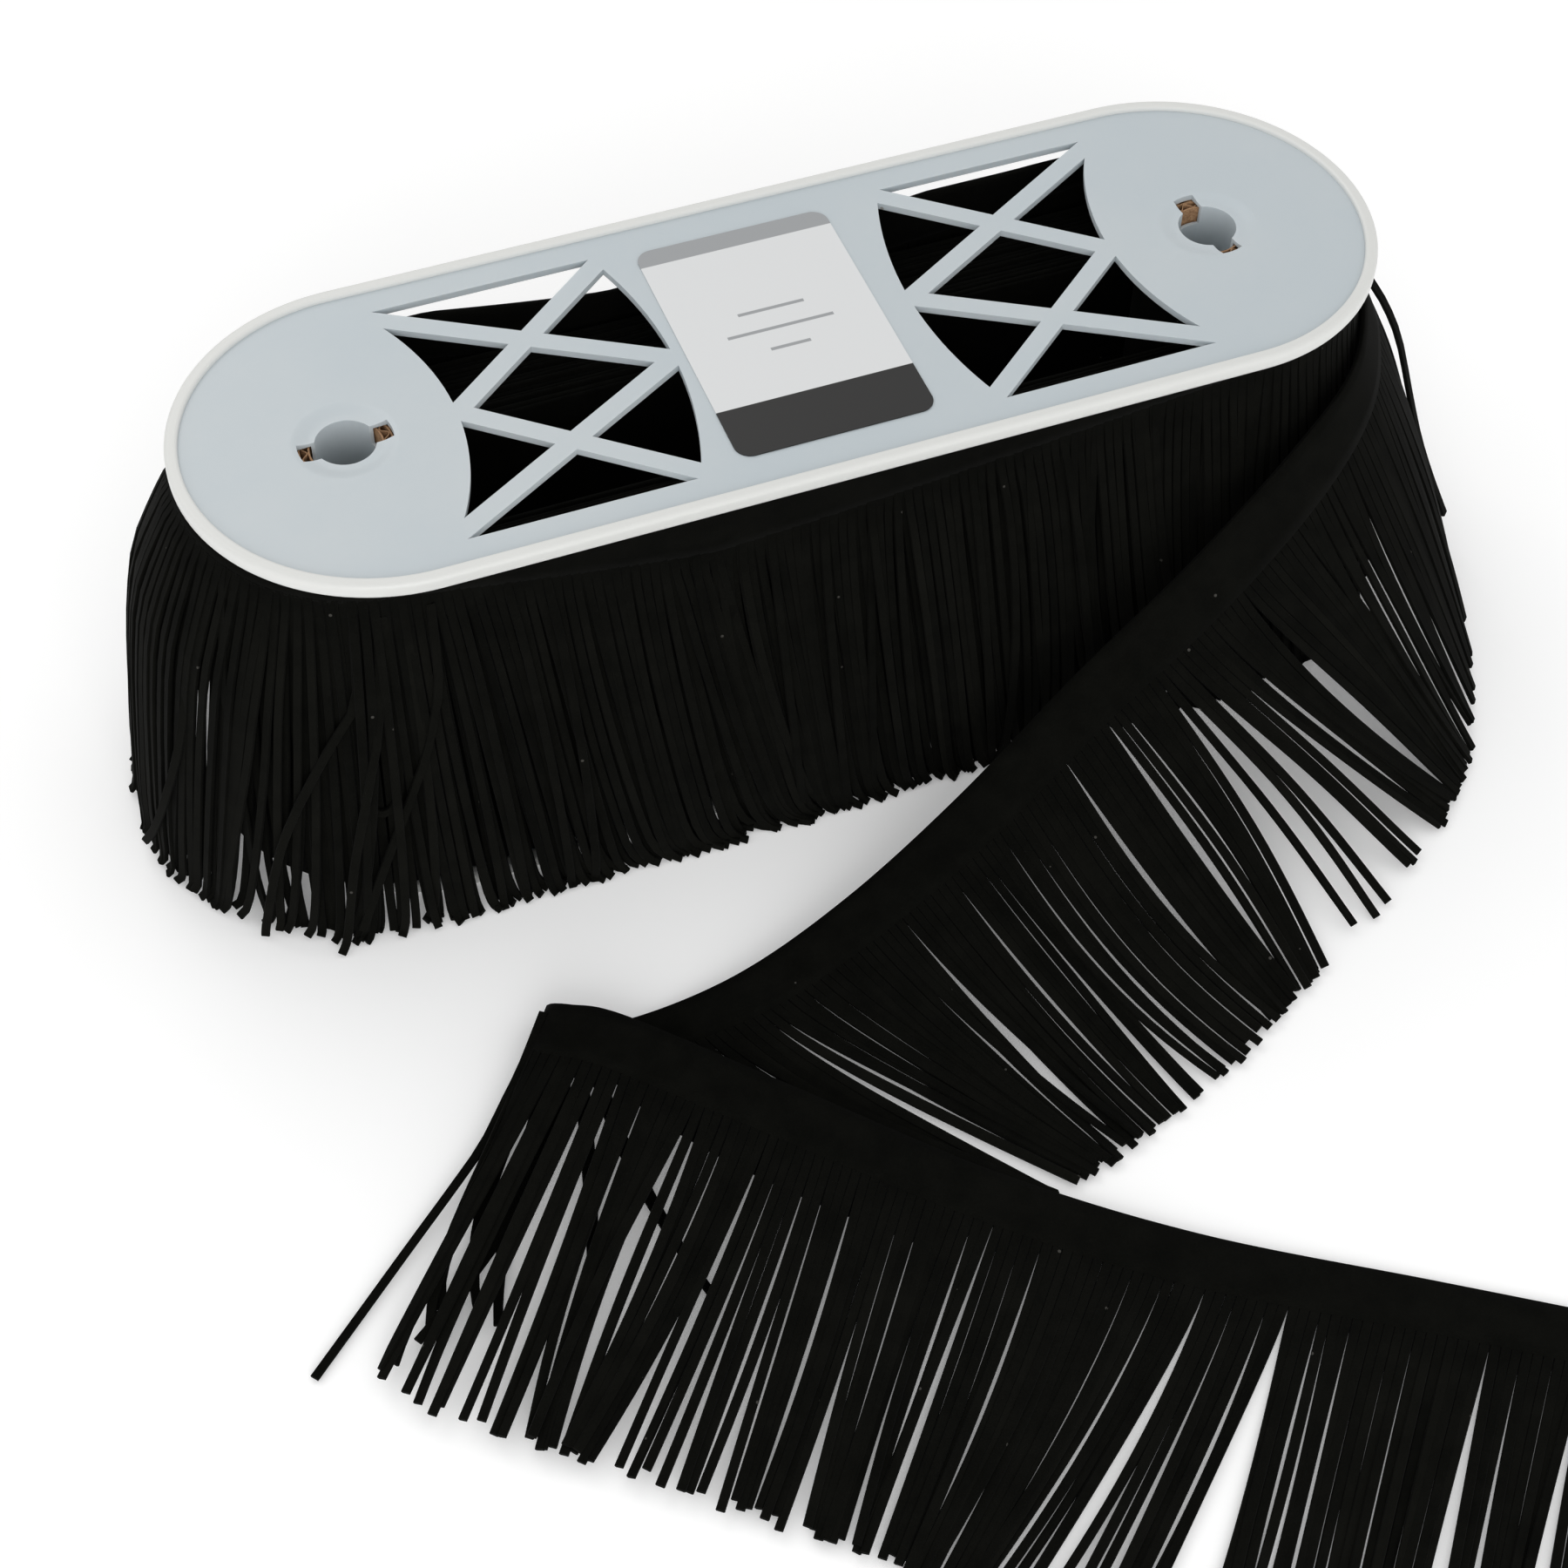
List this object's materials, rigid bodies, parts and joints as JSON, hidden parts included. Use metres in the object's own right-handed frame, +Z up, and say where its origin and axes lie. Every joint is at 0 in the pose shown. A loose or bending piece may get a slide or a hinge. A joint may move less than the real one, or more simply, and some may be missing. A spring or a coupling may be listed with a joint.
{
  "type": "roll of fringe trim",
  "caption": "Roll of black faux-suede fringe trim wound on a flat two-hub plastic reel, its loose end leaving one side, folding back on itself and lying flat on the surface.",
  "frame": {"origin": "on the surface it stands on, under the middle of the reel; the lower flange's recessed middle panel is 1 mm above it", "axes": "+X along the reel towards the end where the trim leaves it, +Y away from the loose end, +Z up"},
  "size_m": [0.3187, 0.3544, 0.102],
  "materials": {
    "reel_plastic": "moulded translucent milky white, satin",
    "corrugated_board": "brown corrugated paper board, matte",
    "suede": "black faux suede, matte with a soft nap",
    "label_paper": "coated paper sticker, semi-matt"
  },
  "bodies": {
    "root": {"top_flange": "reel_plastic", "bottom_flange": "reel_plastic", "core_left": "corrugated_board", "core_right": "corrugated_board", "wound_trim": "suede", "outer_turn_fringe": "suede", "loose_end_fringe": "suede", "label": "label_paper"}
  },
  "joints": []
}
